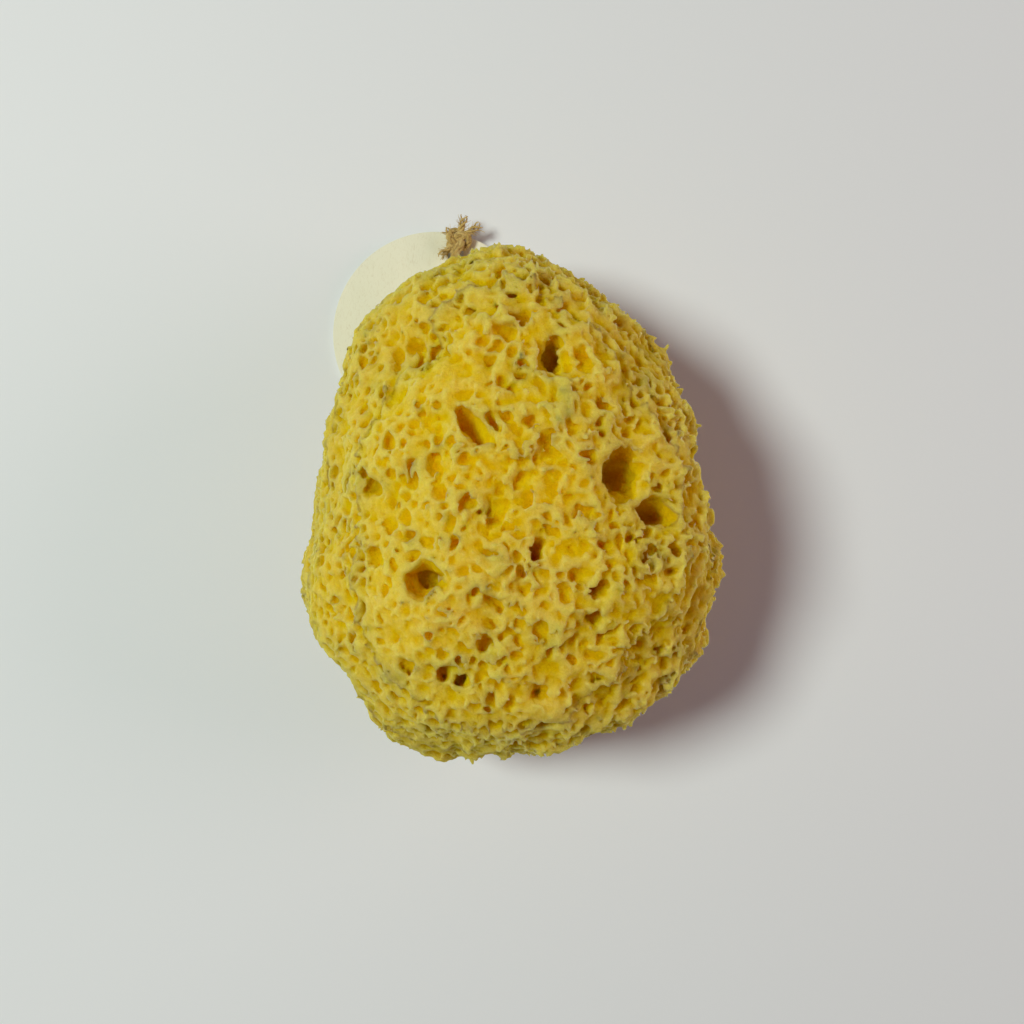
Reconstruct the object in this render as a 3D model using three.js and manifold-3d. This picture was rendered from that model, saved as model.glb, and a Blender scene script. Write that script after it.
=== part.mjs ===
// Natural bath sponge with a blank round card tag tied on by jute twine.
// Millimetres, +Z up. The sponge rests on the flat cut where it grew on rock, and the origin is on
// that cut, under the middle of the sponge. +X is its right side and +Y its top end as laid down.

import * as THREE from "three";
import { mergeVertices } from "three/addons/utils/BufferGeometryUtils.js";
import Module from "manifold-3d";

const wasm = await Module();
wasm.setup();

// Sponge body: height, and the plan at its waist as radii every 30 degrees from +X
const SPONGE_HEIGHT = 76;
const WAIST_HEIGHT = 33;
const UNDERSIDE_DEPTH = 41; // below the waist, before the flat cut takes its lowest part off
const OUTLINE_RADII = [48.8, 48.4, 55.4, 63.6, 58.5, 48.5, 46.8, 54.8, 58.6, 58.8, 57.2, 53.3];
const FULLNESS = 0.88; // under 1 is boxier than an ellipsoid
const CUT_SIZE = 200; // of the block below the resting face that is cut away
const SKIN_DETAIL = 10; // subdivisions of the icosahedron that the body starts from

// Broad lumps (height above 0) and hollows (below 0): angles round and up from the waist's centre
const LOBES = [
  { round: 204, up: -10, spread: 17, height: 3.2 }, // lower left shoulder
  { round: 226, up: 6, spread: 9, height: -4.4 }, // notch beside that shoulder
  { round: 250, up: 2, spread: 13, height: 2.4 }, // lower left corner
  { round: 338, up: 0, spread: 16, height: 1.6 }, // lower right flank
  { round: 12, up: 6, spread: 13, height: -1.8 }, // shallow dip in the right side
  { round: 72, up: 10, spread: 9, height: -2.6 }, // dip beside the top end
  { round: 98, up: 4, spread: 12, height: 1.6 }, // top end
  { round: 186, up: 36, spread: 24, height: -4.0 }, // slope of the left side
  { round: 128, up: 40, spread: 13, height: -2.6 }, // sunken patch near the top end
  { round: 112, up: -50, spread: 30, height: -13 }, // underside lifts clear of the tag
];
const SWELL_COUNT = 96; // low swells all over, rising and sinking in turn
const SWELL_SPREAD = 8;
const SWELL_HEIGHT = 1.4;

// Canal mouths large enough to stand out: angles as above, width and depth of the opening,
// and how far its long side is turned from level
const CANALS = [
  { round: 18, up: 61, width: 7.4, depth: 12, long: 1.15, turned: 90 },
  { round: 0, up: 55, width: 4.4, depth: 9, long: 2.3, turned: 0 },
  { round: 31, up: 68, width: 3.6, depth: 6, long: 1.5, turned: 0 },
  { round: 63, up: 56, width: 4.2, depth: 7, long: 1.3, turned: 90 },
  { round: 75, up: 60, width: 5.6, depth: 10, long: 1.15, turned: 90 },
  { round: 86, up: 50, width: 4.8, depth: 7, long: 1.5, turned: 0 },
  { round: 117, up: 48, width: 7.0, depth: 5, long: 1.35, turned: 0 },
  { round: 111, up: 77, width: 4.2, depth: 9, long: 2.0, turned: 68 },
  { round: 148, up: 74, width: 3.4, depth: 5, long: 1.7, turned: 100 },
  { round: 170, up: 47, width: 3.6, depth: 5, long: 1.4, turned: 10 },
  { round: 199, up: 49, width: 4.6, depth: 6, long: 1, turned: 0 },
  { round: 217, up: 67, width: 6.2, depth: 9, long: 1.1, turned: 0 },
  { round: 248, up: 54, width: 3.4, depth: 6, long: 1.5, turned: 80 },
  { round: 261, up: 61, width: 3.6, depth: 6, long: 1.2, turned: 90 },
  { round: 280, up: 50, width: 4.4, depth: 7, long: 1.1, turned: 0 },
  { round: 280, up: 38, width: 3.6, depth: 7, long: 1.9, turned: 0 },
  { round: 307, up: 77, width: 3.2, depth: 8, long: 1.6, turned: 90 },
  { round: 309, up: 62, width: 3.8, depth: 7, long: 1, turned: 0 },
  { round: 322, up: 67, width: 3.6, depth: 7, long: 1, turned: 0 },
  { round: 314, up: 49, width: 3.6, depth: 6, long: 1.5, turned: 0 },
  { round: 347, up: 41, width: 3.2, depth: 6, long: 1.5, turned: 0 },
];
const CANAL_SIDES = 7;
const CANAL_FLOOR = { across: 0.7, down: 0.8 }; // shares of the radius and of the depth

// Small pits between the canals, on a golden spiral over the body
const PIT_COUNT = 150;
const PIT_WIDTHS = [5.2, 7.0, 5.8, 7.8]; // used in turn
const PIT_DEPTH_SHARE = 0.85; // depth as a share of the width
const PIT_SIDES = 5;
const PIT_LOWEST = -38; // degrees below the waist, where the pits stop short of the resting face
const PIT_CLEARANCE = 0.9; // gap to a canal, in pit widths
const LIP_FLARE = { across: 1.4, out: 0.5 }; // of a pit's or canal's mouth, as shares of its radius

// Tag: a blank card disc, its hole side held up by the twine that passes under it
const TAG_DIAMETER = 55;
const TAG_THICKNESS = 0.6;
const TAG_SEGMENTS = 22;
const TAG_CENTRE = [-19.7, 47.3];
const TAG_HOLE_DIAMETER = 4.4;
const TAG_HOLE_INSET = 5.2; // from the rim to the hole's centre
const TAG_HOLE_ROUND = 76; // degrees
const TAG_RIM_GAP = 0.1; // between the low rim and the table
const TAG_TILT = 2.8; // degrees

// Twine: one length, looped through the sponge and round the tag's rim, then knotted
const TWINE_DIAMETER = 1.7;
const TWINE_SIDES = 8;
const TWINE_GAP = 0.35; // clear of the card and the sponge
const LOOP_STEPS = 16;
const LEG_STEPS = 8;
const LEG_SAG = 0.8;
const KNOT_RADIUS = 1.95;
const KNOT_STEPS = 28;
const KNOT_CORE = 1.9; // radius of the packed middle of the knot
const KNOT_SHIFT = 0.6; // towards the rim from midway between the hole and the rim
const TAILS = [
  { round: 82, up: 16, length: 8.2 },
  { round: 34, up: 12, length: 8.0 },
  { round: 146, up: 10, length: 6.0 },
];
const TAIL_TIP_SHARE = 0.45; // tip diameter as a share of the twine's
const TIES = [
  { round: 105.5, up: -24, width: 4.6, depth: 9 },
  { round: 110.5, up: -24, width: 4.6, depth: 9 },
]; // canals in the flank that the two legs of the twine go into
const TIE_REACH = 5; // how far a leg goes into its canal

const UP = new THREE.Vector3(0, 0, 1);
const waist = new THREE.Vector3(0, 0, WAIST_HEIGHT);
const radians = THREE.MathUtils.degToRad;

/** Unit direction from angles in degrees, round from +X and up from level. */
function direction(round, up) {
  const level = Math.cos(radians(up));
  return new THREE.Vector3(
    level * Math.cos(radians(round)),
    level * Math.sin(radians(round)),
    Math.sin(radians(up)),
  );
}

/** Directions spread evenly over a sphere, on a golden spiral. */
function goldenSpiral(count) {
  const turn = Math.PI * (3 - Math.sqrt(5));
  return Array.from({ length: count }, (_, i) => {
    const z = 1 - (2 * i + 1) / count;
    const across = Math.sqrt(1 - z * z);
    return new THREE.Vector3(across * Math.cos(i * turn), across * Math.sin(i * turn), z);
  });
}

/** A closed three.js geometry as a solid that can be joined and cut. */
function solid(geometry) {
  const bare = geometry.clone();
  bare.deleteAttribute("normal");
  bare.deleteAttribute("uv");
  const merged = mergeVertices(bare, 1e-4);
  const mesh = new wasm.Mesh({
    numProp: 3,
    vertProperties: merged.attributes.position.array,
    triVerts: new Uint32Array(merged.index.array),
  });
  return new wasm.Manifold(mesh);
}

/** A solid back as a three.js geometry. */
function geometryOf(made) {
  const mesh = made.getMesh();
  const geometry = new THREE.BufferGeometry();
  geometry.setAttribute("position", new THREE.BufferAttribute(mesh.vertProperties, 3));
  geometry.setIndex(new THREE.BufferAttribute(mesh.triVerts, 1));
  geometry.computeVertexNormals();
  return geometry;
}

const outline = new THREE.CatmullRomCurve3(
  OUTLINE_RADII.map((r, i) => {
    const angle = (i / OUTLINE_RADII.length) * 2 * Math.PI;
    return new THREE.Vector3(r * Math.cos(angle), r * Math.sin(angle), 0);
  }),
  true,
);

const lobes = [
  ...LOBES.map((l) => ({ toward: direction(l.round, l.up), spread: radians(l.spread), height: l.height })),
  ...goldenSpiral(SWELL_COUNT).map((toward, i) => ({
    toward,
    spread: radians(SWELL_SPREAD),
    height: i % 2 ? SWELL_HEIGHT : -SWELL_HEIGHT,
  })),
];

/** The point of the sponge's outer form in a direction from the waist's centre. */
function formPoint(toward) {
  const round = THREE.MathUtils.euclideanModulo(Math.atan2(toward.y, toward.x), 2 * Math.PI);
  const plan = outline.getPoint(round / (2 * Math.PI)).length();
  const across = Math.hypot(toward.x, toward.y) ** FULLNESS;
  const rise = toward.z > 0 ? SPONGE_HEIGHT - WAIST_HEIGHT : UNDERSIDE_DEPTH;
  const point = new THREE.Vector3(
    plan * across * Math.cos(round),
    plan * across * Math.sin(round),
    rise * Math.sign(toward.z) * Math.abs(toward.z) ** FULLNESS,
  );
  const lift = lobes.reduce(
    (sum, l) => sum + l.height * Math.exp(-((toward.angleTo(l.toward) / l.spread) ** 2)),
    0,
  );
  return point.addScaledVector(toward, lift).add(waist);
}

/** A hollow that opens outwards at a point of the form, from its section below the lip. */
function hollow(toward, section, r, sides, long = 1, turned = 0) {
  const lip = [
    [r, 0],
    [LIP_FLARE.across * r, LIP_FLARE.out * r],
    [0, LIP_FLARE.out * r],
  ];
  const profile = [...section, ...lip].map(([x, y]) => new THREE.Vector2(x, y));
  const lathe = new THREE.LatheGeometry(profile, sides);
  lathe.rotateX(Math.PI / 2).scale(long, 1, 1).rotateZ(radians(turned));
  lathe.applyQuaternion(new THREE.Quaternion().setFromUnitVectors(UP, toward));
  const at = formPoint(toward);
  return solid(lathe.translate(at.x, at.y, at.z));
}

/** The mouth of a canal, round-ended: long is its length over its width. */
function canal({ toward, width, depth, long, turned }) {
  const r = width / 2;
  const section = [
    [0, -depth],
    [CANAL_FLOOR.across * r, -CANAL_FLOOR.down * depth],
  ];
  return hollow(toward, section, r, CANAL_SIDES, long, turned);
}

/** A small pit, pointed at its floor. */
function pit({ toward, width }) {
  return hollow(toward, [[0, -width * PIT_DEPTH_SHARE]], width / 2, PIT_SIDES);
}

/** The sponge: one body with swells and hollows, cut flat below and pitted all over. */
function makeSponge() {
  const skin = new THREE.IcosahedronGeometry(1, SKIN_DETAIL);
  const position = skin.attributes.position;
  const vertex = new THREE.Vector3();
  for (let i = 0; i < position.count; i++) {
    const moved = formPoint(vertex.fromBufferAttribute(position, i).normalize());
    position.setXYZ(i, moved.x, moved.y, moved.z);
  }
  const below = new THREE.BoxGeometry(CUT_SIZE, CUT_SIZE, CUT_SIZE).translate(0, 0, -CUT_SIZE / 2);
  const canals = [...CANALS, ...TIES].map((c) => ({ ...c, toward: direction(c.round, c.up) }));
  const pits = goldenSpiral(PIT_COUNT)
    .map((toward, i) => ({ toward, width: PIT_WIDTHS[i % PIT_WIDTHS.length] }))
    .filter(({ toward }) => toward.z > Math.sin(radians(PIT_LOWEST)))
    .filter(({ toward, width }) =>
      canals.every((c) => {
        const apart = formPoint(toward).distanceTo(formPoint(c.toward));
        return apart > c.width / 2 + width * PIT_CLEARANCE;
      }),
    );
  let body = solid(skin);
  for (const cut of [...canals.map(canal), ...pits.map(pit), solid(below)]) body = body.subtract(cut);
  return geometryOf(body);
}

/** The card disc with its punched hole towards local +X, its middle at the origin. */
function makeTag() {
  const rim = TAG_DIAMETER / 2;
  const disc = new THREE.Shape().absarc(0, 0, rim, 0, 2 * Math.PI);
  const hole = new THREE.Path();
  hole.absarc(rim - TAG_HOLE_INSET, 0, TAG_HOLE_DIAMETER / 2, 0, 2 * Math.PI, true);
  disc.holes.push(hole);
  const card = new THREE.ExtrudeGeometry(disc, {
    depth: TAG_THICKNESS,
    bevelEnabled: false,
    curveSegments: TAG_SEGMENTS,
  });
  return card.translate(0, 0, -TAG_THICKNESS / 2);
}

/** A closed tube of twine along points, as a solid. */
function twineAlong(points, steps) {
  const section = new THREE.Shape(
    Array.from({ length: TWINE_SIDES }, (_, i) => {
      const angle = (i / TWINE_SIDES) * 2 * Math.PI;
      return new THREE.Vector2(Math.cos(angle), Math.sin(angle)).multiplyScalar(TWINE_DIAMETER / 2);
    }),
  );
  const path = new THREE.CatmullRomCurve3(points);
  return solid(new THREE.ExtrudeGeometry(section, { steps, extrudePath: path, bevelEnabled: false }));
}

/** The twine: a loop round the tag's rim, a knot on top of it, frayed tails and two legs to the sponge. */
function makeTwine(tagPlace) {
  const fromTag = (x, z) => new THREE.Vector3(x, 0, z).applyMatrix4(tagPlace);
  const rim = TAG_DIAMETER / 2;
  const clear = (TAG_THICKNESS + TWINE_DIAMETER) / 2 + TWINE_GAP;
  const beside = TWINE_DIAMETER / 2 + TWINE_GAP;
  const knotAt = fromTag(rim - TAG_HOLE_INSET / 2 + KNOT_SHIFT, clear + KNOT_RADIUS / 2);
  const loop = [
    knotAt,
    fromTag(rim - TAG_HOLE_INSET, clear),
    fromTag(rim - TAG_HOLE_INSET, -clear / 3),
    fromTag(rim - TAG_HOLE_INSET / 2, -clear),
    fromTag(rim + beside, -clear / 3),
    fromTag(rim + beside, clear),
    knotAt,
  ];
  let twine = twineAlong(loop, LOOP_STEPS);
  const knot = new THREE.TorusKnotGeometry(KNOT_RADIUS, TWINE_DIAMETER / 2, KNOT_STEPS, TWINE_SIDES, 2, 3);
  const core = new THREE.IcosahedronGeometry(KNOT_CORE, 1);
  for (const made of [knot, core])
    twine = twine.add(solid(made.translate(knotAt.x, knotAt.y, knotAt.z)));
  for (const t of TAILS) {
    const tip = (TWINE_DIAMETER / 2) * TAIL_TIP_SHARE;
    const tail = new THREE.CylinderGeometry(tip, TWINE_DIAMETER / 2, t.length, TWINE_SIDES);
    tail.rotateX(Math.PI / 2).translate(0, 0, t.length / 2);
    tail.applyQuaternion(new THREE.Quaternion().setFromUnitVectors(UP, direction(t.round, t.up)));
    twine = twine.add(solid(tail.translate(knotAt.x, knotAt.y, knotAt.z)));
  }
  for (const t of TIES) {
    const toward = direction(t.round, t.up);
    const mouth = formPoint(toward);
    const inside = mouth.clone().addScaledVector(toward, -TIE_REACH);
    const outside = mouth.clone().addScaledVector(toward, TWINE_DIAMETER);
    const sagging = outside.clone().lerp(knotAt, 0.5).addScaledVector(UP, -LEG_SAG);
    twine = twine.add(twineAlong([inside, mouth, outside, sagging, knotAt], LEG_STEPS));
  }
  return geometryOf(twine);
}

const spongeMaterial = new THREE.MeshStandardMaterial({ color: 0xd2b54a, roughness: 0.95, metalness: 0 });
const cardMaterial = new THREE.MeshStandardMaterial({ color: 0xe6e0c0, roughness: 0.85, metalness: 0 });
const juteMaterial = new THREE.MeshStandardMaterial({ color: 0xa98a55, roughness: 0.95, metalness: 0 });

const sponge = new THREE.Mesh(makeSponge(), spongeMaterial);
sponge.name = "sponge";

const tag = new THREE.Mesh(makeTag(), cardMaterial);
tag.name = "tag";
tag.rotation.set(0, radians(-TAG_TILT), radians(TAG_HOLE_ROUND), "ZYX");
const lowRim = (TAG_DIAMETER / 2) * Math.sin(radians(TAG_TILT)) + TAG_THICKNESS / 2;
tag.position.set(TAG_CENTRE[0], TAG_CENTRE[1], lowRim + TAG_RIM_GAP);
tag.updateMatrix();

const twine = new THREE.Mesh(makeTwine(tag.matrix), juteMaterial);
twine.name = "twine";

// The sponge's plan is centred on the origin, and what is tied to it goes along
const assembly = new THREE.Group();
assembly.add(sponge, tag, twine);
sponge.geometry.computeBoundingBox();
const middle = sponge.geometry.boundingBox.getCenter(new THREE.Vector3());
assembly.position.set(-middle.x, -middle.y, 0);

const part = new THREE.Group();
part.add(assembly);

export default part;
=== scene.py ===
import logging
import math
from dataclasses import dataclass, field
from enum import Enum

import bpy
import numpy as np
import openvdb
from mathutils import Matrix, Vector
from mathutils.kdtree import KDTree


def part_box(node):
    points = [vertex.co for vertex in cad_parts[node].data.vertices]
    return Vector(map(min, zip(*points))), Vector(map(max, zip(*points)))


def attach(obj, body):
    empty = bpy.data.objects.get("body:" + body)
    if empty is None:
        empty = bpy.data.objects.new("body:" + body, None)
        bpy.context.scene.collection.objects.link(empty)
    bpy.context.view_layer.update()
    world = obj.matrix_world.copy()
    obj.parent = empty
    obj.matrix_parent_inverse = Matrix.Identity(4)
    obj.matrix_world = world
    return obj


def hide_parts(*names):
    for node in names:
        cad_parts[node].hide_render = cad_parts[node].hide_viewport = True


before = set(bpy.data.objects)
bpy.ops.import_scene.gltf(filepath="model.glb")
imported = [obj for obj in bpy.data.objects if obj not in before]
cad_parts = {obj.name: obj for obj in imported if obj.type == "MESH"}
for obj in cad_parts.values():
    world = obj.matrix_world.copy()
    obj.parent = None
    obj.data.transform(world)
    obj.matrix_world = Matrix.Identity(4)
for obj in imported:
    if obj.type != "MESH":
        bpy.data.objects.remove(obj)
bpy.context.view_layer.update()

MM = 0.001  # metres in a millimetre: shapes are worked out in millimetres
BODY = "root"
WHITE = (1.0, 1.0, 1.0, 1.0)
BLACK = (0.0, 0.0, 0.0, 1.0)
EVEN = (1.0, 1.0, 1.0)  # a pattern that isn't drawn out
log = logging.getLogger("sea_sponge")


class Slot(Enum):
    """The record's material slots."""

    SPONGE = "sponge"
    CARD = "card"
    JUTE = "jute"


def linear(red: int, green: int, blue: int) -> tuple[float, float, float, float]:
    """A screen colour of 0 to 255 a channel as the linear colour that shaders use.

    Args:
        red: Red of the screen colour.
        green: Green of the screen colour.
        blue: Blue of the screen colour.

    Returns:
        Linear red, green, blue and an alpha of 1.
    """
    shares = [channel / 255 for channel in (red, green, blue)]
    bent = [s / 12.92 if s <= 0.04045 else ((s + 0.055) / 1.055) ** 2.4 for s in shares]
    return (*bent, 1.0)


def unit(vectors: np.ndarray) -> np.ndarray:
    """Vectors along the last axis at length 1."""
    return vectors / np.maximum(np.linalg.norm(vectors, axis=-1, keepdims=True), 1e-9)


def mesh_object(name: str, points: np.ndarray, faces: np.ndarray) -> bpy.types.Object:
    """A mesh object at the origin, with its place in its mesh.

    Args:
        name: Name of the piece.
        points: Vertices in millimetres, one a row.
        faces: Vertex numbers of each face, all with as many sides.

    Returns:
        The linked object, shaded smooth.
    """
    mesh = bpy.data.meshes.new(name)
    mesh.vertices.add(len(points))
    mesh.vertices.foreach_set("co", (np.asarray(points) * MM).astype(np.float32).ravel())
    mesh.loops.add(faces.size)
    mesh.loops.foreach_set("vertex_index", faces.astype(np.int32).ravel())
    mesh.polygons.add(len(faces))
    mesh.polygons.foreach_set("loop_start", np.arange(0, faces.size, faces.shape[1], dtype=np.int32))
    mesh.update(calc_edges=True)
    mesh.validate()
    mesh.shade_smooth()
    piece = bpy.data.objects.new(name, mesh)
    bpy.context.scene.collection.objects.link(piece)
    return piece


def vertices_of(piece: bpy.types.Object) -> np.ndarray:
    """Vertices of a piece in millimetres, one a row.

    Args:
        piece: The mesh object.

    Returns:
        The places, in an array of three columns.
    """
    flat = np.empty(len(piece.data.vertices) * 3, np.float32)
    piece.data.vertices.foreach_get("co", flat)
    return flat.reshape(-1, 3).astype(float) / MM


def triangles_of(piece: bpy.types.Object) -> np.ndarray:
    """Vertex numbers of a piece's triangles, one triangle a row.

    Args:
        piece: The mesh object.

    Returns:
        The numbers, in an array of three columns.
    """
    piece.data.calc_loop_triangles()
    flat = np.empty(len(piece.data.loop_triangles) * 3, np.int32)
    piece.data.loop_triangles.foreach_get("vertices", flat)
    return flat.reshape(-1, 3)


def set_attribute(piece: bpy.types.Object, name: str, values: np.ndarray) -> None:
    """Stores one number for each vertex of a piece.

    Args:
        piece: The mesh object.
        name: Name that the material reads.
        values: One number for each vertex.
    """
    stored = piece.data.attributes.new(name, "FLOAT", "POINT")
    stored.data.foreach_set("value", values.astype(np.float32))


def only_select(piece: bpy.types.Object) -> None:
    """Deselects everything, then selects and activates one object.

    Args:
        piece: That object.
    """
    bpy.ops.object.select_all(action="DESELECT")
    piece.select_set(True)
    bpy.context.view_layer.objects.active = piece


def apply_modifier(piece: bpy.types.Object, kind: str, **settings: object) -> None:
    """Adds a modifier to a piece and applies it.

    Args:
        piece: The mesh object.
        kind: The modifier's type, as Blender names it.
        settings: Its values by name.
    """
    only_select(piece)
    modifier = piece.modifiers.new(kind.title(), kind)
    for name, value in settings.items():
        setattr(modifier, name, value)
    bpy.ops.object.modifier_apply(modifier=modifier.name)


def finish_piece(piece: bpy.types.Object, slot: Slot, material: bpy.types.Material, *nodes: str) -> None:
    """Dresses a piece and ties it to the frame.

    Args:
        piece: The finished mesh object.
        slot: The record's slot that it belongs to; not used.
        material: Its finish.
        nodes: The CAD nodes that it stands for.
    """
    piece.data.materials.clear()
    piece.data.materials.append(material)
    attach(piece, BODY)
    if nodes:
        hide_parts(*nodes)
    piece.data.calc_loop_triangles()
    log.info("%s: %d triangles", piece.name, len(piece.data.loop_triangles))


class NodeSheet:
    """A shader node tree, with short ways to add and join its nodes."""

    def __init__(self, tree: bpy.types.NodeTree) -> None:
        """Keeps the tree and empties it."""
        self.tree = tree
        self.tree.nodes.clear()

    def add(self, kind: str, inputs: dict[str, object] | None = None, **settings: object) -> bpy.types.Node:
        """Adds a node.

        Args:
            kind: The node's type, as Blender names it.
            inputs: Values or sockets for its inputs, by name.
            settings: The node's own settings, by name.

        Returns:
            The new node.
        """
        node = self.tree.nodes.new(kind)
        for name, value in settings.items():
            setattr(node, name, value)
        for name, value in (inputs or {}).items():
            self.feed(node.inputs[name], value)
        return node

    def feed(self, socket: bpy.types.NodeSocket, value: object) -> None:
        """Links a socket, or sets its own value where that is plain.

        Args:
            socket: The input.
            value: A plain value, or the socket to link from.
        """
        if isinstance(value, bpy.types.NodeSocket):
            self.tree.links.new(value, socket)
        else:
            socket.default_value = value

    def ramp(self, factor: bpy.types.NodeSocket, stops: list[tuple[float, tuple]]) -> bpy.types.NodeSocket:
        """Colours along a factor.

        Args:
            factor: The socket that runs from 0 to 1.
            stops: Places along it, each with its colour.

        Returns:
            The colour socket.
        """
        node = self.add("ShaderNodeValToRGB", {"Fac": factor})
        elements = node.color_ramp.elements
        while len(elements) < len(stops):
            elements.new(1.0)
        for element, (place, colour) in zip(elements, stops):
            element.position = place
            element.color = colour
        return node.outputs["Color"]

    def math(self, operation: str, first: object, second: object = 0.0) -> bpy.types.NodeSocket:
        """One sum on two values or sockets.

        Args:
            operation: The sum, as Blender names it.
            first: The first value or socket.
            second: The second value or socket.

        Returns:
            The result socket.
        """
        node = self.add("ShaderNodeMath", operation=operation)
        self.feed(node.inputs[0], first)
        self.feed(node.inputs[1], second)
        return node.outputs[0]

    def mix(
        self, factor: object, first: object, second: object, blend: str = "MIX"
    ) -> bpy.types.NodeSocket:
        """Two colours mixed by a factor.

        Args:
            factor: Share of the second colour.
            first: The first colour or socket.
            second: The second colour or socket.
            blend: How the second goes over the first.

        Returns:
            The mixed colour socket.
        """
        node = self.add("ShaderNodeMix", data_type="RGBA", blend_type=blend)
        self.feed(node.inputs[0], factor)
        self.feed(node.inputs[6], first)
        self.feed(node.inputs[7], second)
        return node.outputs[2]

    def bump(self, height: bpy.types.NodeSocket, strength: float, rise: float) -> bpy.types.NodeSocket:
        """Normals of a height that stands out by a rise in millimetres."""
        inputs = {"Height": height, "Strength": strength, "Distance": rise * MM}
        return self.add("ShaderNodeBump", inputs).outputs["Normal"]

    def finish(self, surface: dict[str, object]) -> None:
        """Adds the surface's shader by its inputs, and joins it to the output."""
        shader = self.add("ShaderNodeBsdfPrincipled", surface)
        self.add("ShaderNodeOutputMaterial", {"Surface": shader.outputs["BSDF"]})


def new_material(name: str) -> tuple[bpy.types.Material, NodeSheet]:
    """An empty material and its nodes.

    Args:
        name: Name of the material.

    Returns:
        The material, and the sheet that its nodes go on.
    """
    made = bpy.data.materials.new(name)
    made.use_nodes = True
    return made, NodeSheet(made.node_tree)


def fibre_grain() -> bpy.types.NodeTree:
    """The shared node group for matted fibres: a mottle, a grain and a height.

    Returns:
        The group, made once and found again by name.
    """
    name = "fibre_grain"
    if name in bpy.data.node_groups:
        return bpy.data.node_groups[name]
    group = bpy.data.node_groups.new(name, "ShaderNodeTree")
    sheet = NodeSheet(group)
    for socket, kind in (("Mottle Scale", "Float"), ("Grain Scale", "Float"), ("Stretch", "Vector")):
        group.interface.new_socket(socket, in_out="INPUT", socket_type=f"NodeSocket{kind}")
    for socket in ("Mottle", "Grain", "Height"):
        group.interface.new_socket(socket, in_out="OUTPUT", socket_type="NodeSocketFloat")
    given = sheet.add("NodeGroupInput")
    place = sheet.add("ShaderNodeTexCoord").outputs["Object"]
    drawn = sheet.add("ShaderNodeVectorMath", operation="MULTIPLY")
    sheet.feed(drawn.inputs[0], place)
    sheet.feed(drawn.inputs[1], given.outputs["Stretch"])
    where = drawn.outputs[0]
    broad = {"Vector": where, "Scale": given.outputs["Mottle Scale"], "Detail": 3.0, "Roughness": 0.6}
    fine = {"Vector": where, "Scale": given.outputs["Grain Scale"], "Detail": 4.0, "Roughness": 0.7}
    mottle = sheet.add("ShaderNodeTexNoise", broad).outputs["Fac"]
    grain = sheet.add("ShaderNodeTexNoise", {**fine, "Distortion": 1.2}).outputs["Fac"]
    strands = sheet.add("ShaderNodeTexVoronoi", {"Vector": where, "Scale": given.outputs["Grain Scale"]})
    strands.feature = "DISTANCE_TO_EDGE"
    height = sheet.math("ADD", grain, sheet.math("MULTIPLY", strands.outputs["Distance"], 0.6))
    sheet.add("NodeGroupOutput", {"Mottle": mottle, "Grain": grain, "Height": height})
    return group


def add_grain(
    sheet: NodeSheet, mottle: float, grain: float, stretch: tuple[float, float, float]
) -> bpy.types.Node:
    """Places the shared fibre group in a material.

    Args:
        sheet: The material's nodes.
        mottle: Scale of its mottle, in turns a metre.
        grain: Scale of its grain, in turns a metre.
        stretch: How the pattern is drawn out along each axis.

    Returns:
        The group's node.
    """
    node = sheet.add("ShaderNodeGroup", node_tree=fibre_grain())
    node.inputs["Mottle Scale"].default_value = mottle
    node.inputs["Grain Scale"].default_value = grain
    node.inputs["Stretch"].default_value = stretch
    return node


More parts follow.
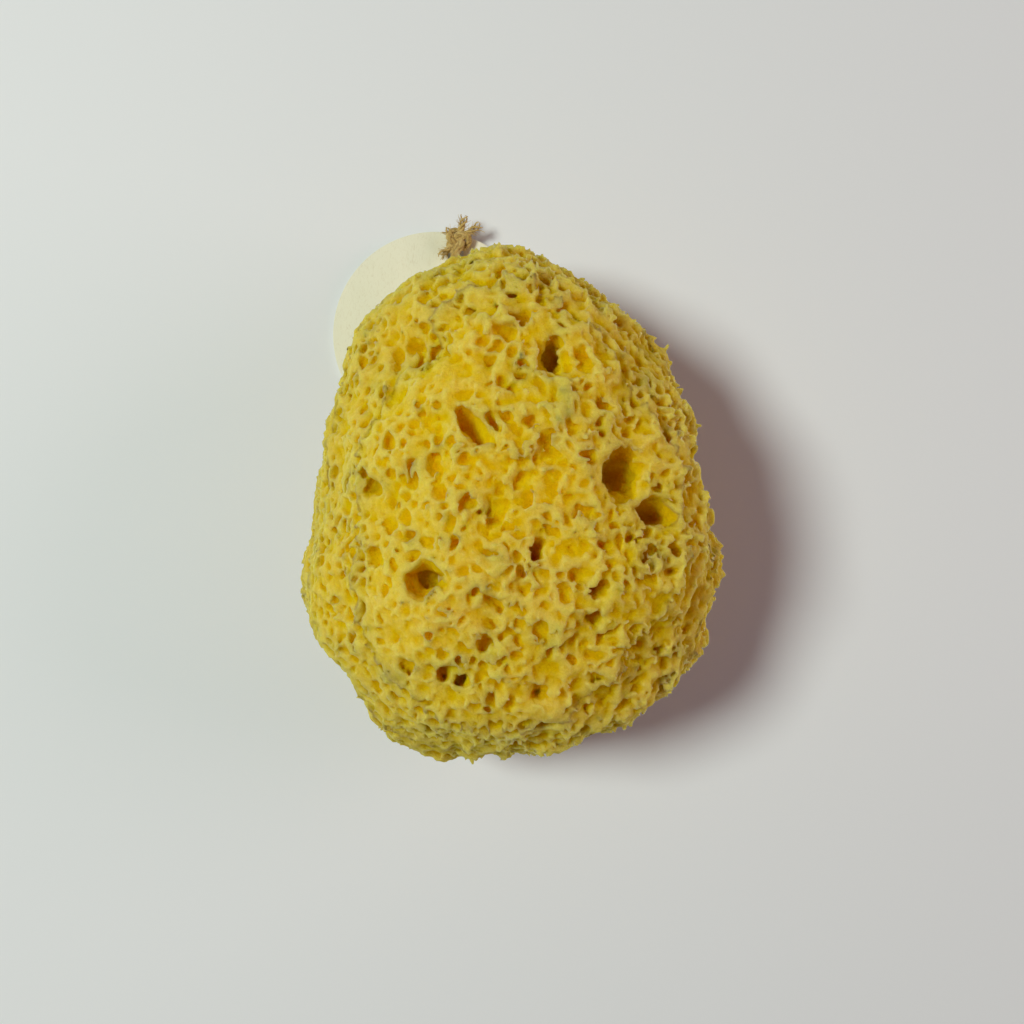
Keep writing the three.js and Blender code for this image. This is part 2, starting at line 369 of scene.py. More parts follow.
@dataclass(frozen=True)
class SpongeFinish:
    """Dry sponge skeleton: straw crests, and hollows and depths painted more golden, partly the sponge's
    own colour and partly painted shade and light bounced inside the pores.
    """

    straw: tuple = linear(249, 212, 94)
    honey_and_painted_shade: tuple = linear(242, 204, 8)
    amber_and_painted_shade: tuple = linear(250, 206, 6)
    painted_base_shade: tuple = (0.76, 0.73, 0.66, 1.0)  # painted shade: the flanks are darkened towards the base as if they fell into shade
    painted_shade_heights: tuple[float, float] = (30.0, 70.0)  # millimetres, from the darkest painted shade to full colour
    mottle_scale: float = 340.0  # turns a metre
    grain_scale: float = 1000.0
    mottle_share: float = 0.3
    depth_share: float = 0.5
    crest_range: tuple[float, float] = (0.40, 0.68)  # from all straw to none
    grain_dark: tuple = (0.85, 0.83, 0.75, 1.0)
    grain_range: tuple[float, float] = (0.36, 0.60)
    grain_share: float = 0.7
    nap: float = 0.6  # millimetres that the fibres stand out
    nap_strength: float = 0.8
    roughness: float = 0.95
    gloss: float = 0.03
    scatter_reach: float = 7.0  # millimetres that red light travels inside a wall
    scatter_tint: tuple[float, float, float] = (1.0, 0.97, 0.35)

    def material(self) -> bpy.types.Material:
        """Builds the material.

        Returns:
            A material that reads the depth and hollow attributes of the skeleton.
        """
        made, sheet = new_material("sponge_skeleton")
        depth = sheet.add("ShaderNodeAttribute", attribute_name="depth").outputs["Fac"]
        hollow = sheet.add("ShaderNodeAttribute", attribute_name="hollow").outputs["Fac"]
        grain = add_grain(sheet, self.mottle_scale, self.grain_scale, EVEN)
        about = sheet.math("SUBTRACT", grain.outputs["Mottle"], 0.5)
        uneven = sheet.math("MULTIPLY", about, self.mottle_share)
        # partly painted shade: hollower and deeper places get less straw and more gold, partly the sponge's
        # own colour and partly standing in for shade and light bounced inside the pores
        deeper = sheet.math("MULTIPLY", depth, self.depth_share)
        sunk = sheet.math("ADD", sheet.math("ADD", hollow, uneven), deeper)
        crest = sheet.ramp(sunk, list(zip(self.crest_range, (WHITE, BLACK))))
        colour = sheet.mix(crest, sheet.mix(depth, self.honey_and_painted_shade, self.amber_and_painted_shade), self.straw)
        shaded = sheet.ramp(grain.outputs["Grain"], list(zip(self.grain_range, (self.grain_dark, WHITE))))
        colour = sheet.mix(self.grain_share, colour, shaded, "MULTIPLY")
        # painted shade: the colour is darkened lower on the flanks, standing in for the shade that falls
        # there, not a colour of the sponge
        place = sheet.add("ShaderNodeTexCoord").outputs["Object"]
        height = sheet.add("ShaderNodeSeparateXYZ", {"Vector": place}).outputs["Z"]
        low, high = (edge * MM for edge in self.painted_shade_heights)
        risen = sheet.add("ShaderNodeMapRange", {"Value": height, "From Min": low, "From Max": high})
        flank = sheet.mix(risen.outputs["Result"], self.painted_base_shade, WHITE)
        surface = {
            "Base Color": sheet.mix(1.0, colour, flank, "MULTIPLY"),
            "Roughness": self.roughness,
            "Normal": sheet.bump(grain.outputs["Height"], self.nap_strength, self.nap),
            "Specular IOR Level": self.gloss,
            "Subsurface Weight": 1.0,
            "Subsurface Radius": self.scatter_tint,
            "Subsurface Scale": self.scatter_reach * MM,
        }
        sheet.finish(surface)
        return made


@dataclass(frozen=True)
class CardFinish:
    """Uncoated cream card with faint fibres."""

    cream: tuple = linear(245, 241, 214)
    dull: tuple = linear(232, 224, 192)
    cloud: tuple = (0.94, 0.94, 0.92, 1.0)
    cloud_share: float = 0.8
    roughness: float = 0.85
    gloss: float = 0.25

    def material(self) -> bpy.types.Material:
        """Builds the material.

        Returns:
            The card's material.
        """
        made, sheet = new_material("cream_card")
        grain = add_grain(sheet, 90.0, 1600.0, (1.0, 0.35, 1.0))
        fibres = sheet.ramp(grain.outputs["Grain"], [(0.25, self.dull), (0.48, self.cream)])
        cloud = sheet.ramp(grain.outputs["Mottle"], [(0.3, self.cloud), (0.7, WHITE)])
        surface = {
            "Base Color": sheet.mix(self.cloud_share, fibres, cloud, "MULTIPLY"),
            "Roughness": self.roughness,
            "Normal": sheet.bump(grain.outputs["Grain"], 0.25, 0.1),
            "Specular IOR Level": self.gloss,
        }
        sheet.finish(surface)
        return made


@dataclass(frozen=True)
class JuteFinish:
    """Jute fibre, each strand its own shade of tan."""

    pale: tuple = linear(228, 204, 140)
    tan: tuple = linear(202, 170, 94)
    dark: tuple = linear(146, 116, 54)
    uneven: float = 0.9
    roughness: float = 0.85
    gloss: float = 0.3
    sheen: float = 0.2

    def material(self) -> bpy.types.Material:
        """Builds the material.

        Returns:
            A material that reads the shade attribute of the strands.
        """
        made, sheet = new_material("jute_fibre")
        shade = sheet.add("ShaderNodeAttribute", attribute_name="shade").outputs["Fac"]
        grain = add_grain(sheet, 300.0, 3200.0, EVEN)
        about = sheet.math("SUBTRACT", grain.outputs["Grain"], 0.5)
        uneven = sheet.math("MULTIPLY", about, self.uneven)
        stops = [(0.0, self.dark), (0.5, self.tan), (1.0, self.pale)]
        surface = {
            "Base Color": sheet.ramp(sheet.math("ADD", shade, uneven), stops),
            "Roughness": self.roughness,
            "Normal": sheet.bump(grain.outputs["Grain"], 0.6, 0.2),
            "Specular IOR Level": self.gloss,
            "Sheen Weight": self.sheen,
        }
        sheet.finish(surface)
        return made


@dataclass
class Block:
    """A regular block of cells round the sponge, in millimetres."""

    low: np.ndarray
    cell: float
    shape: tuple[int, int, int]

    def places(self) -> np.ndarray:
        """Middle of every cell, as x, y and z arrays of the block's shape."""
        axes = [self.low[i] + self.cell * np.arange(self.shape[i], dtype=np.float32) for i in range(3)]
        return np.stack(np.meshgrid(*axes, indexing="ij"))

    def window(self, low: np.ndarray, high: np.ndarray) -> tuple[slice, slice, slice]:
        """The cells between two corners.

        Args:
            low: The lower corner, in millimetres.
            high: The upper corner.

        Returns:
            A slice of each axis.
        """
        first = np.clip(np.floor((low - self.low) / self.cell), 0, self.shape).astype(int)
        last = np.clip(np.ceil((high - self.low) / self.cell) + 1, 0, self.shape).astype(int)
        return tuple(slice(a, b) for a, b in zip(first, last))

    def noise(self, size: float, rng: np.random.Generator) -> np.ndarray:
        """Smooth random swells.

        Args:
            size: Width of a swell.
            rng: The seeded generator.

        Returns:
            An array of the block's shape, about -1 to 1.
        """
        steps = [np.arange(n) * self.cell / size for n in self.shape]
        values = rng.uniform(-1, 1, [int(s[-1]) + 2 for s in steps]).astype(np.float32)
        for axis, step in enumerate(steps):
            below = step.astype(int)
            share = (step - below).astype(np.float32)
            share = share * share * (3 - 2 * share)
            share = share.reshape([-1 if i == axis else 1 for i in range(3)])
            values = values.take(below, axis) * (1 - share) + values.take(below + 1, axis) * share
        return values

    def blur(self, values: np.ndarray, reach: float) -> np.ndarray:
        """Values averaged over a box about each cell.

        Args:
            values: An array of the block's shape.
            reach: Half the width of the box.

        Returns:
            The averaged array.
        """
        cells = max(1, round(reach / self.cell))
        for axis in range(3):
            pad = [(cells + 1, cells) if i == axis else (0, 0) for i in range(3)]
            summed = np.cumsum(np.pad(values, pad, mode="edge"), axis, dtype=np.float64)
            count = self.shape[axis]
            upper = summed.take(np.arange(2 * cells + 1, 2 * cells + 1 + count), axis)
            values = ((upper - summed.take(np.arange(count), axis)) / (2 * cells + 1)).astype(np.float32)
        return values

    def at(self, values: np.ndarray, points: np.ndarray) -> np.ndarray:
        """Values at points, between the cells.

        Args:
            values: An array of the block's shape.
            points: Places in millimetres, one a row.

        Returns:
            One value for each point.
        """
        where = np.clip((points - self.low) / self.cell, 0, np.array(self.shape) - 1.001)
        below = where.astype(int)
        share = where - below
        total = np.zeros(len(points))
        for corner in np.ndindex(2, 2, 2):
            weight = np.prod(np.where(corner, share, 1 - share), axis=1)
            i, j, k = (below + corner).T
            total += weight * values[i, j, k]
        return total


@dataclass(frozen=True)
class Canal:
    """An opening that stands out, by its plan as seen from above, in millimetres."""

    x: float
    y: float
    long: float
    wide: float
    turned: float
    deep: float = 3.4


CANALS = (
    Canal(0.6, 45.7, 3.0, 2.2, 10, 4.5),
    Canal(-8.3, 42.1, 3.9, 2.2, -5),
    Canal(2.5, 40.8, 6.8, 4.4, 15, 5.5),
    Canal(-1.4, 37.8, 5.6, 3.2, -20),
    Canal(11.3, 37.8, 3.2, 2.8, 90, 4.2),
    Canal(9.1, 31.5, 6.4, 5.2, 70, 8.5),
    Canal(16.4, 31.1, 5.3, 4.0, 90, 4.2),
    Canal(-20.6, 34.6, 3.6, 3.0, -15),
    Canal(-16.2, 32.6, 4.2, 3.2, -35),
    Canal(-7.1, 15.9, 9.2, 4.4, 118, 8),
    Canal(-25.5, 14.0, 5.0, 2.4, 85),
    Canal(-16.6, 8.3, 5.4, 3.0, 80),
    Canal(-29.8, 3.4, 4.9, 3.2, -10),
    Canal(24.9, 6.0, 10.4, 8.6, 100, 9.5),
    Canal(31.4, -2.0, 11.4, 4.4, -5, 9),
    Canal(17.8, 8.9, 5.8, 3.2, -25),
    Canal(-29.1, -12.1, 4.5, 4.3, 0, 4.2),
    Canal(-21.4, -7.3, 2.8, 2.5, 0),
    Canal(-18.7, -16.0, 7.2, 6.0, 10, 11),
    Canal(6.0, -10.1, 4.6, 2.8, 75, 8),
    Canal(-5.0, -31.5, 4.0, 3.2, 90, 4.2),
    Canal(19.0, -18.3, 4.0, 3.6, 0, 7),
    Canal(18.3, -24.6, 3.8, 3.6, 0, 5),
    Canal(-14.5, -37.4, 5.0, 2.8, 100, 6),
    Canal(-11.0, -38.9, 3.6, 2.6, 70, 7),
    Canal(-3.9, -43.0, 3.6, 2.0, 90),
    Canal(6.9, -41.0, 4.6, 4.0, 0, 5),
    Canal(7.9, -49.1, 7.0, 3.0, 5, 5),
    Canal(28.5, -31.8, 5.0, 2.8, 10),
    Canal(13.6, -33.6, 2.8, 2.6, 0),
    Canal(8.4, -32.3, 5.0, 2.0, 65),
    Canal(35.9, -10.2, 4.0, 2.4, -15),
    Canal(26.3, -7.9, 2.8, 2.3, 80),
    Canal(35.3, -14.9, 3.0, 2.0, 0),
    Canal(3.7, 0.3, 4.8, 2.2, 85),
    Canal(-16.5, -29.0, 2.8, 1.9, 0),
    Canal(-19.2, -51.6, 3.8, 2.4, 90),
    Canal(0.6, 17.6, 2.8, 2.5, 0),
    Canal(4.3, 16.8, 2.6, 2.1, -30),
    Canal(-3.4, 16.8, 3.2, 2.2, 115, 5),
    Canal(16.0, -1.3, 4.0, 2.2, 35),
    Canal(-11.1, -9.1, 3.4, 1.9, 30),
    Canal(-32.1, -24.2, 5.8, 2.6, 70),
    Canal(-8.0, -19.1, 3.8, 2.3, 100),
)


@dataclass(frozen=True)
class Dent:
    """A broad shallow basin in the upper skin, by its plan, in millimetres."""

    x: float
    y: float
    radius: float
    deep: float
    low: float = 25.0  # height that it starts at


DENTS = (
    Dent(-18.0, 33.0, 5.0, 2.4),
    Dent(-14.7, 17.5, 5.0, 2.0),
    Dent(-3.0, -2.6, 6.5, 1.6),
    Dent(-12.6, -37.0, 7.0, 2.0),
    Dent(25.5, 5.5, 6.5, 2.6),
    Dent(31.0, -2.0, 6.0, 2.2),
    Dent(-27.0, 1.0, 5.0, 1.6),
    Dent(9.0, 31.0, 5.0, 1.8),
    Dent(-40.5, -40.0, 3.6, 3.0, 6.0),
)


@dataclass
class Pores:
    """Openings in the skin: mouths, inward axes, and sizes, one a row, in millimetres."""

    mouth: np.ndarray
    axis: np.ndarray
    side: np.ndarray
    long: np.ndarray
    wide: np.ndarray
    deep: np.ndarray

    @classmethod
    def joined(cls, parts: list["Pores"]) -> "Pores":
        """All the pores of several sets."""
        names = ("mouth", "axis", "side", "long", "wide", "deep")
        return cls(*(np.concatenate([getattr(p, n) for p in parts]) for n in names))


@dataclass
class Sponge:
    """The grown skeleton, made from a block of cells that the pores are carved out of."""

    seed: int = 7
    cell: float = 0.40
    bridge: float = 5.0  # half the width of the solid's pits that the skin runs straight over
    margin: float = 5.0
    inside: float = 18.0  # depth below the skin that is worked out
    facing_up: float = 0.05  # least rise of the skin that a canal is laid on
    favour_high: float = 0.002  # of two places in one plan, the higher is taken
    canal_drop: float = 0.8  # how far a canal is turned from straight in towards straight down
    pore_widths: tuple[float, float] = (1.6, 4.2)
    pore_wall: float = 0.55
    small_widths: tuple[float, float] = (0.9, 1.5)
    small_wall: float = 0.45
    narrow: tuple[float, float] = (1.2, 3.2)  # how far narrow pores outnumber wide ones
    stretches: tuple[float, float] = (1.0, 1.9)
    least_depth: float = 0.6
    depth_shares: tuple[float, float] = (0.25, 0.52)  # of the pore's width
    deep_shares: tuple[float, float] = (0.8, 1.1)
    deep_pores: float = 0.02  # share of the pores that are deep
    tries: int = 40000
    lean: float = 0.95  # how far a pore may lean from straight in
    lean_spread: float = 0.7
    warps: tuple[tuple[float, float], ...] = ((8.0, 1.1), (3.2, 0.9), (1.6, 0.45))  # widths and amounts
    reach: float = 2.4  # distance from a pore that its wall is worked out to
    spread: float = 1.4  # the same along its width, in shares of that
    rise: float = 4.0  # and above its mouth
    mouth: float = 1.15  # width of a pore at its mouth, in shares of its own
    taper: float = 0.65
    lip: float = 0.3
    lip_depth: float = 0.8
    open_above: float = 3.0  # how far a pore goes on above its mouth
    swell: float = 0.25  # how far pores are opened towards each other
    web: float = 1.05  # thickness of the webs that stay between them
    web_change: tuple[float, float] = (3.0, 0.8)
    frays: tuple[tuple[float, float], ...] = ((1.1, 0.45), (0.7, 0.2))
    fold: float = 1.5
    fold_width: float = 6.5
    valley: float = 1.7
    valley_width: float = 11.0
    valley_drop: float = 0.15
    crest: float = 1.0
    crest_width: float = 2.0
    crest_drop: float = 0.55
    crest_change: tuple[float, float] = (2.4, 0.9)
    ragged: float = 1.8
    tuft_width: float = 1.4
    rim: float = 1.1  # width of the pores' torn rims
    patch: float = 0.9
    patch_width: float = 3.6
    wrinkles: tuple[tuple[float, float], ...] = ((2.1, 0.6), (1.2, 0.45))
    foot: tuple[float, float] = (5.0, 8.0)  # height that relief starts at, and how far it then grows
    soft_side: tuple[float, float] = (-48.0, 50.0)  # x that roughness grows from, and how far
    least_rough: float = 0.5
    blend: float = 0.1  # width of the rounding at the pores' rims
    cut: float = 0.02  # height of the flat cut
    smoothing: float = 0.5
    smoothing_rounds: int = 3
    hollow_reach: float = 1.9  # distance that a hollow is told from a crest over
    depth_start: float = 0.75  # height above the plain skin that depth is counted from
    depth_range: float = 10.0
    ties: tuple = (
        ((-14.05, 48.09, 16.68), (0.244, -0.880, 0.407)),
        ((-17.99, 45.69, 16.70), (0.320, -0.856, 0.407)),
    )
    tie_width: float = 4.6
    tie_depth: float = 9.0
    triangle_limit: int = 900000
    bands: tuple[str, ...] = (
        "sponge_base",
        "sponge_flank",
        "sponge_middle",
        "sponge_shoulder",
        "sponge_crown",
    )
    rng: np.random.Generator = field(init=False)

    def __post_init__(self) -> None:
        """Seeds the generator."""
        self.rng = np.random.default_rng(self.seed)

    def level_set(
        self, points: np.ndarray, faces: dict[str, np.ndarray], out: float, into: float
    ) -> openvdb.FloatGrid:
        """Signed distances about a closed surface.

        Args:
            points: Vertices in millimetres.
            faces: Its triangles or quads, by that name.
            out: Distance that is worked out outside the surface.
            into: Distance that is worked out inside it.

        Returns:
            The volume grid.
        """
        return openvdb.FloatGrid.createLevelSetFromPolygons(
            points.astype(np.float32),
            **{name: rows.astype(np.uint32) for name, rows in faces.items()},
            transform=openvdb.createLinearTransform(voxelSize=self.cell),
            exBandWidth=out / self.cell,
            inBandWidth=into / self.cell,
        )

    def find_skin(self) -> tuple[Block, np.ndarray, np.ndarray]:
        """The smooth outer skin that runs over the solid's pits.

        Returns:
            The block, distances from the skin in it, and points of the skin.
        """
        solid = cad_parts["sponge"]
        shell = {"triangles": triangles_of(solid)}
        near = self.level_set(vertices_of(solid), shell, self.bridge + 2, 3.0)
        puffed, _, quads = near.convertToPolygons(isovalue=self.bridge)
        grid = self.level_set(puffed, {"quads": quads}, self.margin, self.inside + self.bridge)
        low, high = (np.array(corner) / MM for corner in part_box("sponge"))
        start = np.floor((low - self.margin) / self.cell).astype(int)
        shape = np.ceil((high + self.margin) / self.cell).astype(int) - start + 1
        distance = np.empty(shape, np.float32)
        grid.copyToArray(distance, ijk=tuple(int(n) for n in start))
        block = Block(start * self.cell, self.cell, tuple(int(n) for n in shape))
        points, _, _ = grid.convertToPolygons(isovalue=-self.bridge)
        return block, distance + self.bridge, points.astype(float)

    def normals(self, block: Block, skin: np.ndarray, points: np.ndarray) -> np.ndarray:
        """Outward directions at points near the skin.

        Args:
            block: The block of cells.
            skin: Distances from the skin.
            points: The points, one a row.

        Returns:
            A direction of length 1 for each point.
        """
        step = 2 * block.cell
        ahead = [block.at(skin, points + step * way) for way in np.eye(3)]
        behind = [block.at(skin, points - step * way) for way in np.eye(3)]
        return unit(np.stack([a - b for a, b in zip(ahead, behind)], axis=1))

    def seen_canals(self, points: np.ndarray, outward: np.ndarray) -> Pores:
        """The openings that stand out, laid on the skin by their plan, and the twine's own.

        Args:
            points: Points of the skin.
            outward: Its outward directions there.

        Returns:
            Those openings as pores.
        """
        upper = np.flatnonzero(outward[:, 2] > self.facing_up)
        rows = []
        for c in CANALS:
            apart = np.hypot(points[upper, 0] - c.x, points[upper, 1] - c.y)
            at = upper[np.argmin(apart - self.favour_high * points[upper, 2])]
            axis = -unit(outward[at] + np.array([0, 0, self.canal_drop]))
            turn = math.radians(c.turned)
            along = np.array([math.cos(turn), math.sin(turn), 0.0])
            side = unit(along - axis * (along @ axis))
            rows.append((points[at], axis, side, c.long, c.wide, c.deep))
        for mouth, axis in self.ties:
            side = unit(np.cross(axis, (0, 0, 1)))
            sizes = (self.tie_width, self.tie_width, self.tie_depth)
            rows.append((np.array(mouth), np.array(axis), side, *sizes))
        return Pores(*(np.array(column, float) for column in zip(*rows)))

    def scatter(
        self,
        points: np.ndarray,
        outward: np.ndarray,
        widths: tuple[float, float],
        wall: float,
        taken: Pores,
    ) -> Pores:
        """Pores strewn over the skin, clear of each other and of those already there.

        Args:
            points: Points of the skin.
            outward: Its outward directions there.
            widths: The least and greatest width.
            wall: The least wall between two pores.
            taken: Pores already there.

        Returns:
            The new pores.
        """
        rng = self.rng
        order = rng.choice(len(points), self.tries, replace=False)
        width = widths[0] + (widths[1] - widths[0]) * rng.beta(*self.narrow, self.tries)
        tree = KDTree(self.tries)
        for n, at in enumerate(order):
            tree.insert(points[at], n)
        tree.balance()
        crowded = np.zeros(self.tries, bool)

        def claim(spot: np.ndarray, radius: float) -> None:
            """Rules out the places too near a pore."""
            for _, other, apart in tree.find_range(spot, radius + wall + widths[1] / 2):
                crowded[other] |= apart < radius + wall + width[other] / 2

        for spot, radius in zip(taken.mouth, np.sqrt(taken.long * taken.wide) / 2):
            claim(spot, radius)
        chosen = []
        for n, at in enumerate(order):
            if not crowded[n]:
                claim(points[at], width[n] / 2)
                chosen.append(n)
        picked = order[chosen]
        wide = width[chosen]
        many = len(picked)
        aside = np.clip(rng.normal(0, self.lean_spread, (many, 3)), -1, 1)
        axis = -unit(outward[picked] + self.lean * aside)
        side = unit(np.cross(axis, unit(rng.normal(0, 1, (many, 3)))))
        stretch = np.sqrt(rng.uniform(*self.stretches, many))
        deepest = rng.random(many) < self.deep_pores
        deeper = rng.uniform(*self.deep_shares, many)
        share = np.where(deepest, deeper, rng.uniform(*self.depth_shares, many))
        deep = self.least_depth + wide * share
        return Pores(points[picked], axis, side, wide * stretch, wide / stretch, deep)

    def carve(self, block: Block, pores: Pores) -> np.ndarray:
        """Distances from the walls of the pores, below 0 inside a pore.

        Args:
            block: The block of cells.
            pores: All the pores.

        Returns:
            An array of the block's shape.
        """
        places = block.places()
        for size, amount in self.warps:
            for axis in range(3):
                places[axis] += amount * block.noise(size, self.rng)
        slack = sum(amount for _, amount in self.warps)
        walls = np.full(block.shape, self.reach, np.float32)
        second = np.full(block.shape, self.reach, np.float32)
        across = np.cross(pores.axis, pores.side)
        for n in range(len(pores.mouth)):
            mouth, axis, deep = pores.mouth[n], pores.axis[n], pores.deep[n]
            radius = math.sqrt(pores.long[n] * pores.wide[n]) / 2
            ends = np.stack([mouth - self.rise * axis, mouth + deep * axis])
            spread = pores.long[n] / 2 * self.spread + self.reach + slack
            window = block.window(ends.min(0) - spread, ends.max(0) + spread)
            near = places[(slice(None), *window)] - mouth.astype(np.float32)[:, None, None, None]
            down = np.tensordot(axis.astype(np.float32), near, 1)
            u = np.tensordot((pores.side[n] / (pores.long[n] / 2)).astype(np.float32), near, 1)
            v = np.tensordot((across[n] / (pores.wide[n] / 2)).astype(np.float32), near, 1)
            past = np.maximum(down - (deep - radius), 0) / radius
            past += np.maximum(-down - self.open_above, 0) / radius
            flare = self.mouth - self.taper * np.clip(down / deep, 0, 1)
            flare += self.lip * np.exp(-np.maximum(down, 0) / self.lip_depth)
            wall = (np.sqrt(u * u + v * v + past * past) - flare) * radius - self.swell
            np.minimum(second[window], np.maximum(walls[window], wall), out=second[window])
            np.minimum(walls[window], wall, out=walls[window])
        size, amount = self.web_change
        web = self.web * (1 + amount * block.noise(size, self.rng))
        walls = np.maximum(walls, (web - (second - walls)) / 2)
        return walls + sum(amount * block.noise(size, self.rng) for size, amount in self.frays)

    def creases(self, block: Block, width: float) -> np.ndarray:
        """Rounded ridges between sharp creases, from -1.1 to 0.5."""
        return 0.5 - 1.6 * np.abs(block.noise(width, self.rng))

    def grounded(self, out: np.ndarray, z: np.ndarray) -> np.ndarray:
        """Relief that doesn't stand out where the sponge meets the ground."""
        start, rise = self.foot
        return np.where(out > 0, out * np.clip((z - start) / rise, 0, 1), out)

    def firm(self, x: np.ndarray) -> np.ndarray:
        """How rough the skin is: less on the left."""
        start, rise = self.soft_side
        return np.clip((x - start) / rise, self.least_rough, 1.0)

    def swells(self, block: Block) -> np.ndarray:
        """Broad folds, valleys and basins that the whole skin follows.

        Args:
            block: The block of cells.

        Returns:
            How far the skin stands out in each cell, in millimetres.
        """
        x, y, z = block.places()
        folds = self.fold * self.creases(block, self.fold_width)
        valleys = self.valley * (block.noise(self.valley_width, self.rng) - self.valley_drop)
        out = self.firm(x) * (folds + valleys)
        for dent in DENTS:
            apart = (x - dent.x) ** 2 + (y - dent.y) ** 2
            out -= dent.deep * np.exp(-apart / dent.radius**2) * (z > dent.low)
        return self.grounded(out, z)

    def relief(self, block: Block, walls: np.ndarray) -> np.ndarray:
        """How far the webs stand out: ragged crests between pores.

        Args:
            block: The block of cells.
            walls: Distances from the walls of the pores.

        Returns:
            An array of the block's shape, in millimetres.
        """
        x, _, z = block.places()
        crests = self.crest * (np.clip(walls / self.crest_width, 0, 1) - self.crest_drop)
        torn = np.maximum(block.noise(self.tuft_width, self.rng), 0) * np.exp(-((walls / self.rim) ** 2))
        size, amount = self.crest_change
        out = crests * (1 + amount * block.noise(size, self.rng)) + self.ragged * torn
        out += self.patch * block.noise(self.patch_width, self.rng)
        out += sum(amount * self.creases(block, size) for size, amount in self.wrinkles)
        return self.grounded(out * self.firm(x), z)

    def build(self) -> list[bpy.types.Object]:
        """Makes the skeleton's meshes, a band of heights each.

        Returns:
            The pieces, with their depth and hollow attributes.
        """
        block, plain, points = self.find_skin()
        swells = self.swells(block)
        skin = plain - swells
        points += block.at(swells, points)[:, None] * self.normals(block, plain, points)
        outward = self.normals(block, skin, points)
        pores = self.seen_canals(points, outward)
        for widths, wall in ((self.pore_widths, self.pore_wall), (self.small_widths, self.small_wall)):
            pores = Pores.joined([pores, self.scatter(points, outward, widths, wall, pores)])
        log.info("pores: %d", len(pores.mouth))
        walls = self.carve(block, pores)
        body = smooth_max(skin - self.relief(block, walls), -walls, self.blend)
        body = np.maximum(body, self.cut - block.places()[2])
        grid = openvdb.FloatGrid(self.margin)
        grid.transform = openvdb.createLinearTransform(voxelSize=block.cell)
        grid.copyFromArray(body, ijk=tuple(int(round(n)) for n in block.low / block.cell))
        found, _, quads = grid.convertToPolygons(isovalue=0.0)
        quads = largest_piece(len(found), quads[:, ::-1])
        used, numbers = np.unique(quads, return_inverse=True)
        whole = mesh_object("sponge_skeleton", found[used], numbers.reshape(quads.shape))
        apply_modifier(whole, "SMOOTH", factor=self.smoothing, iterations=self.smoothing_rounds)
        apply_modifier(whole, "DECIMATE", ratio=min(1.0, self.triangle_limit / (2 * len(quads))))
        # the hollow and depth measures drive the material's partly painted shade in the pores
        solid = block.blur((body < 0).astype(np.float32), self.hollow_reach)
        spots = vertices_of(whole)
        depth = np.clip((self.depth_start - block.at(plain, spots)) / self.depth_range, 0, 1)
        hollow = np.clip(block.at(solid, spots), 0, 1)
        triangles = triangles_of(whole)
        middles = spots[triangles, 2].mean(axis=1)
        bpy.data.objects.remove(whole, do_unlink=True)
        ranks = np.argsort(np.argsort(middles))
        pieces = []
        for n, name in enumerate(self.bands):
            rows = triangles[ranks * len(self.bands) // len(ranks) == n]
            used, numbers = np.unique(rows, return_inverse=True)
            piece = mesh_object(name, spots[used], numbers.reshape(rows.shape))
            set_attribute(piece, "depth", depth[used])
            set_attribute(piece, "hollow", hollow[used])
            pieces.append(piece)
        return pieces

    def dress(self, pieces: list[bpy.types.Object]) -> None:
        """Gives the pieces their finish.

        Args:
            pieces: The skeleton's bands.
        """
        material = SpongeFinish().material()
        for piece in pieces:
            nodes = ["sponge"] if piece.name == self.bands[-1] else []
            finish_piece(piece, Slot.SPONGE, material, *nodes)


def smooth_max(first: np.ndarray, second: np.ndarray, width: float) -> np.ndarray:
    """The greater of two fields, rounded where they meet over a width."""
    share = np.clip(0.5 + 0.5 * (first - second) / width, 0, 1)
    return second + (first - second) * share + width * share * (1 - share)


def largest_piece(count: int, faces: np.ndarray) -> np.ndarray:
    """The faces of the largest joined piece of a mesh.

    Args:
        count: How many vertices there are.
        faces: Vertex numbers of each face.

    Returns:
        The faces that belong to that piece.
    """
    label = np.arange(count)
    while True:
        least = label[faces].min(axis=1)
        moved = label.copy()
        for column in range(faces.shape[1]):
            np.minimum.at(moved, faces[:, column], least)
        moved = moved[moved]
        if np.array_equal(moved, label):
            break
        label = moved
    names, sizes = np.unique(label[faces[:, 0]], return_counts=True)
    return faces[label[faces[:, 0]] == names[np.argmax(sizes)]]


